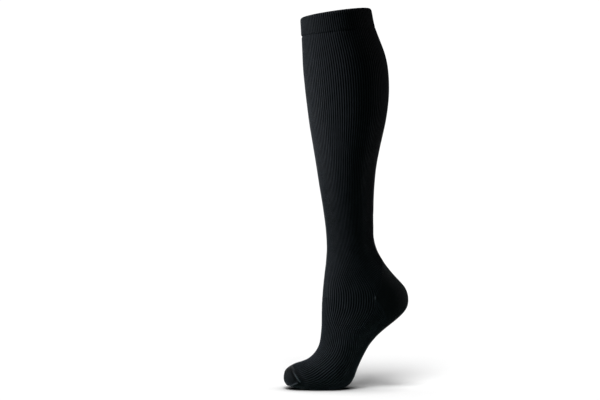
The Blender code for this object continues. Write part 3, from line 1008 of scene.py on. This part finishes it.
PANELS = [
    Panel("key_softbox", (0.09, -1.70, 0.55), AT_LEG, 0.8, 2.0, 35.5, "#f4faff", 180),
    Panel("rim_softbox", (-0.58, 1.60, 0.55), AT_LEG, 0.8, 2.0, 4.9, "#ffffff", 180),
    Panel("far_side_softbox", (-1.70, -0.10, 0.30), AT_LEG, 1.0, 1.2, 12.0, "#ffffff", 180),
    Panel("toe_fill", (0.70, -0.50, -0.42), AT_FOOT, 0.3, 0.2, 0.93, "#d8fff4", 180),
    Panel("sole_fill", (0.30, 0.15, -0.50), AT_FOOT, 0.15, 0.04, 0.058, "#e0fff4", 180),
    Panel("sole_strip", (0.45, 0.05, -0.50), (0.03, 0.03, -0.49), 0.10, 0.05, 0.0056, "#dcfff4", 28),
    Panel("shin_strip", (-0.55, -0.90, -0.19), (0.0, 0.0, -0.19), 0.15, 0.30, 0.11, "#ffffff", 28),
    Panel("low_shin_strip", (-0.35, -0.90, -0.235), (0.0, 0.0, -0.235), 0.10, 0.12, 0.031, "#ffffff",
          16),
    Panel("calf_strip", (-0.45, 0.95, -0.27), (0.0, 0.0, -0.27), 0.15, 0.15, 0.030, "#ffffff", 18),
]

# Suns for the floor alone: the direction each comes from, its strength, and its width in degrees.
Sun = namedtuple("Sun", "name direction strength width")

SUNS = [
    Sun("floor_low", (1.3, -0.1, 1.0), 2.3, 30.0),
    Sun("floor_high", (0.6, -0.1, 1.0), 2.2, 24.0),
    Sun("floor_behind", (-0.5, -0.3, 1.0), 1.0, 70.0),
]

FLOOR_REACH = 30.0
CARD_TONE = 0.7  # share of the backdrop's colour
CARD_GRAIN = 700.0  # specks of about 1.4 mm
CONTACT_REACH = 0.08  # metres over which the painted contact shadow darkens the floor's colour towards what stands on it
CONTACT_GAMMA = 0.6  # below 1, so the painted contact shadow darkens late and close by
BACKDROP_STRENGTH = 1.05

EYE = (2.86, -0.04977, -0.2611)  # a level look at the stocking's +X side
SENSOR = 36.0
LENS = 122.57
FAR_CLIP = 200.0


def hang(lamp, direction, receivers):
    """Adds a light that comes from a direction and reaches only its receivers."""
    light = bpy.data.objects.new(lamp.name, lamp)
    light.rotation_euler = direction.to_track_quat("Z", "Y").to_euler()
    light.light_linking.receiver_collection = receivers
    bpy.context.scene.collection.objects.link(light)
    return light


class STOCKING_OT_stage(bpy.types.Operator):
    """Lays the floor and sets the soft studio light and the camera"""

    bl_idname = "stocking.stage"
    bl_label = "Stage"

    def execute(self, context):
        scene = context.scene
        white = scene.stocking_colours.backdrop
        cloth = bpy.data.collections.new("lit_as_cloth")
        ground = bpy.data.collections.new("lit_as_floor")
        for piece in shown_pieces():
            cloth.objects.link(piece)

        # Matt white card: a pale even ground with no gloss.
        card, tree, surface = new_material("white_card")
        spot = add(tree, "TexCoord").outputs["Object"]
        grain = add(tree, "TexNoise", {"Vector": spot, "Scale": CARD_GRAIN})
        bump = add(tree, "Bump", {
            "Strength": 0.05, "Distance": 0.0001, "Height": grain.outputs["Fac"]})
        # A painted contact shadow: the card's colour darkens close to whatever stands on it, as if that
        # kept the studio's scattered light off it.
        painted_contact_shadow = add(tree, "AmbientOcclusion", {
            "Color": (*(CARD_TONE * v for v in white), 1), "Distance": CONTACT_REACH}, samples=16)
        eased_contact_shadow = add(tree, "Gamma", {"Color": painted_contact_shadow.outputs["Color"], "Gamma": CONTACT_GAMMA})
        fill(tree, surface, {
            "Normal": bump.outputs["Normal"],
            "Base Color": eased_contact_shadow.outputs["Color"],
            "Roughness": 0.95,
            "Specular IOR Level": 0.0,
        })

        mesh = bpy.data.meshes.new("studio_floor")
        level = CAD_BOX[0][2]
        corners = ((-1, -1), (1, -1), (1, 1), (-1, 1))
        corners = [(FLOOR_REACH * x, FLOOR_REACH * y, level) for x, y in corners]
        mesh.from_pydata(corners, [], [(0, 1, 2, 3)])
        mesh.materials.append(card)
        floor = bpy.data.objects.new("studio_floor", mesh)
        scene.collection.objects.link(floor)
        ground.objects.link(floor)
        # The floor's glare is kept off the black cloth, as black flags do in a studio.
        floor.visible_diffuse = False
        floor.visible_glossy = False
        floor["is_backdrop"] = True

        world = bpy.data.worlds.new("white_backdrop")
        world.use_nodes = True
        backdrop = world.node_tree.nodes["Background"]
        backdrop.inputs["Color"].default_value = (*white, 1)
        backdrop.inputs["Strength"].default_value = BACKDROP_STRENGTH
        world.cycles_visibility.diffuse = False
        world.cycles_visibility.glossy = False
        scene.world = world

        for panel in PANELS:
            lamp = bpy.data.lights.new(panel.name, "AREA")
            lamp.shape = "RECTANGLE"
            lamp.size = panel.width
            lamp.size_y = panel.height
            lamp.energy = panel.power
            lamp.color = linear(panel.colour)
            lamp.spread = math.radians(panel.spread)
            light = hang(lamp, Vector(panel.place) - Vector(panel.aim), cloth)
            light.location = panel.place
            light.visible_camera = False
        for sun in SUNS:
            lamp = bpy.data.lights.new(sun.name, "SUN")
            lamp.energy = sun.strength
            lamp.angle = math.radians(sun.width)
            hang(lamp, Vector(sun.direction), ground)

        camera = bpy.data.cameras.new("camera")
        camera.sensor_fit = "HORIZONTAL"
        camera.sensor_width = SENSOR
        camera.lens = LENS
        camera.clip_end = FAR_CLIP
        eye = bpy.data.objects.new("camera", camera)
        eye.location = EYE
        eye.rotation_euler = (math.radians(90), 0, math.radians(90))
        scene.collection.objects.link(eye)
        scene.camera = eye
        scene.view_settings.view_transform = "Standard"
        return {"FINISHED"}


OPERATORS = (
    STOCKING_OT_leg,
    STOCKING_OT_band,
    STOCKING_OT_heel,
    STOCKING_OT_foot,
    STOCKING_OT_toe,
    STOCKING_OT_seam,
    STOCKING_OT_stage,
)


class STOCKING_PT_panel(bpy.types.Panel):
    bl_idname = "STOCKING_PT_panel"
    bl_label = "Compression stocking"
    bl_space_type = "VIEW_3D"
    bl_region_type = "UI"
    bl_category = "Stocking"

    def draw(self, context):
        for settings in (context.scene.stocking_sizes, context.scene.stocking_colours):
            column = self.layout.column(align=True)
            for name in settings.__annotations__:
                column.prop(settings, name)
        for operator in OPERATORS:
            self.layout.operator(operator.bl_idname)


CLASSES = (StockingSizes, StockingColours, *OPERATORS, STOCKING_PT_panel)


def register():
    for kind in CLASSES:
        bpy.utils.register_class(kind)
    bpy.types.Scene.stocking_sizes = PointerProperty(type=StockingSizes)
    bpy.types.Scene.stocking_colours = PointerProperty(type=StockingColours)


def unregister():
    del bpy.types.Scene.stocking_colours
    del bpy.types.Scene.stocking_sizes
    for kind in reversed(CLASSES):
        bpy.utils.unregister_class(kind)


def main():
    register()
    bpy.ops.stocking.leg()
    bpy.ops.stocking.band()
    bpy.ops.stocking.heel()
    bpy.ops.stocking.foot()
    bpy.ops.stocking.toe()
    bpy.ops.stocking.seam()
    bpy.ops.stocking.stage()


if __name__ == "__main__":
    main()
